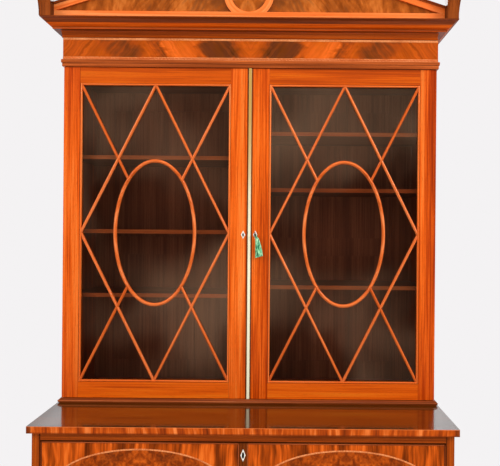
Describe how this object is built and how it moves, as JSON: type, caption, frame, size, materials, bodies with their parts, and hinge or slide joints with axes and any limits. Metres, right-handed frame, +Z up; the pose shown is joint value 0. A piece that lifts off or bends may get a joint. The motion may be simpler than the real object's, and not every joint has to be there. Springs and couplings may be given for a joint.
{
  "type": "secretaire bookcase with glass doors",
  "caption": "Tall two-stage wooden bookcase with a pediment, a pair of glazed doors with oval and lozenge bars, and a deeper base with a fall-front writing drawer over a cupboard.",
  "frame": {"origin": "middle of the footprint on the floor, at the bottom of the plinth feet", "axes": "+X to the right seen from the front, +Y to the back, +Z up"},
  "size_m": [1.208, 0.568, 2.3617],
  "materials": {
    "mahogany": "french polished mahogany, straight grain, warm orange brown",
    "flame_veneer": "french polished flame figured veneer",
    "dark_mahogany": "polished darker mahogany moulding",
    "satinwood": "polished light satinwood",
    "inner_wood": "waxed secondary wood",
    "brass": "lightly polished brass",
    "aged_steel": "dark aged steel",
    "ivory": "polished bone",
    "glass": "clear old sheet glass",
    "green_silk": "twisted silk thread"
  },
  "bodies": {
    "case": {"base_side_left": "mahogany", "base_side_right": "mahogany", "base_bottom": "mahogany", "dustboard": "mahogany", "top_rail": "mahogany", "base_top": "mahogany", "plinth": "mahogany", "upper_bottom": "mahogany", "upper_top": "mahogany", "upper_side_left": "mahogany", "upper_side_right": "mahogany", "corner_block_left": "mahogany", "corner_block_right": "mahogany", "frieze": "flame_veneer", "tympanum": "flame_veneer", "waist_moulding": "dark_mahogany", "frieze_bead": "dark_mahogany", "cornice": "dark_mahogany", "pediment_moulding": "satinwood", "base_back": "inner_wood", "upper_partition": "inner_wood", "shelf_left_low": "inner_wood", "shelf_left_middle": "inner_wood", "shelf_left_high": "inner_wood", "shelf_right_low": "inner_wood", "shelf_right_middle": "inner_wood", "shelf_right_high": "inner_wood", "upper_back": "inner_wood", "hinge_case_low_left": "brass", "hinge_case_low_right": "brass", "hinge_case_high_left": "brass", "hinge_case_high_right": "brass"},
    "left_door": {"door_frame_left": "mahogany", "glazing_bars_left": "satinwood", "glass_left": "glass", "escutcheon_left": "ivory", "hinge_door_low_left": "brass", "hinge_door_high_left": "brass"},
    "right_door": {"door_frame_right": "mahogany", "glazing_bars_right": "satinwood", "glass_right": "glass", "escutcheon_right": "ivory", "meeting_strip": "brass", "hinge_door_low_right": "brass", "hinge_door_high_right": "brass"},
    "key": {"key": "aged_steel", "lock_cam": "brass"},
    "tassel": {"tassel": "green_silk"},
    "writing_drawer": {"writing_drawer": "inner_wood", "pigeonholes": "satinwood"},
    "writing_fall": {"writing_fall": "flame_veneer", "fall_escutcheon": "ivory", "knob_left": "brass", "knob_right": "brass"},
    "left_cupboard_door": {"cupboard_door_left": "flame_veneer", "cupboard_pin_low_left": "brass", "cupboard_pin_high_left": "brass"},
    "right_cupboard_door": {"cupboard_door_right": "flame_veneer", "cupboard_pin_low_right": "brass", "cupboard_pin_high_right": "brass"}
  },
  "joints": [
    {"name": "left_door_swing", "type": "hinge", "parent": "case", "child": "left_door", "pos_m": [-0.55, 0.0065, 1.5075], "axis": [0, 0, -1], "range_deg": [0, 120]},
    {"name": "right_door_swing", "type": "hinge", "parent": "case", "child": "right_door", "pos_m": [0.55, 0.0065, 1.5075], "axis": [0, 0, 1], "range_deg": [0, 120]},
    {"name": "key_turn", "type": "hinge", "parent": "right_door", "child": "key", "pos_m": [0.018, -0.016, 1.504], "axis": [0, 1, 0], "range_deg": [0, 90]},
    {"name": "tassel_swing", "type": "hinge", "parent": "right_door", "child": "tassel", "pos_m": [0.018, -0.027, 1.504], "axis": [0, 1, 0], "range_deg": [-60, 60]},
    {"name": "drawer_slide", "type": "slide", "parent": "case", "child": "writing_drawer", "axis": [0, -1, 0], "range_m": [0, 0.3]},
    {"name": "fall_drop", "type": "hinge", "parent": "writing_drawer", "child": "writing_fall", "pos_m": [0, -0.243, 0.7495], "axis": [1, 0, 0], "range_deg": [0, 90]},
    {"name": "left_cupboard_swing", "type": "hinge", "parent": "case", "child": "left_cupboard_door", "pos_m": [-0.517, -0.244, 0.423], "axis": [0, 0, -1], "range_deg": [0, 90]},
    {"name": "right_cupboard_swing", "type": "hinge", "parent": "case", "child": "right_cupboard_door", "pos_m": [0.517, -0.244, 0.423], "axis": [0, 0, 1], "range_deg": [0, 90]}
  ]
}
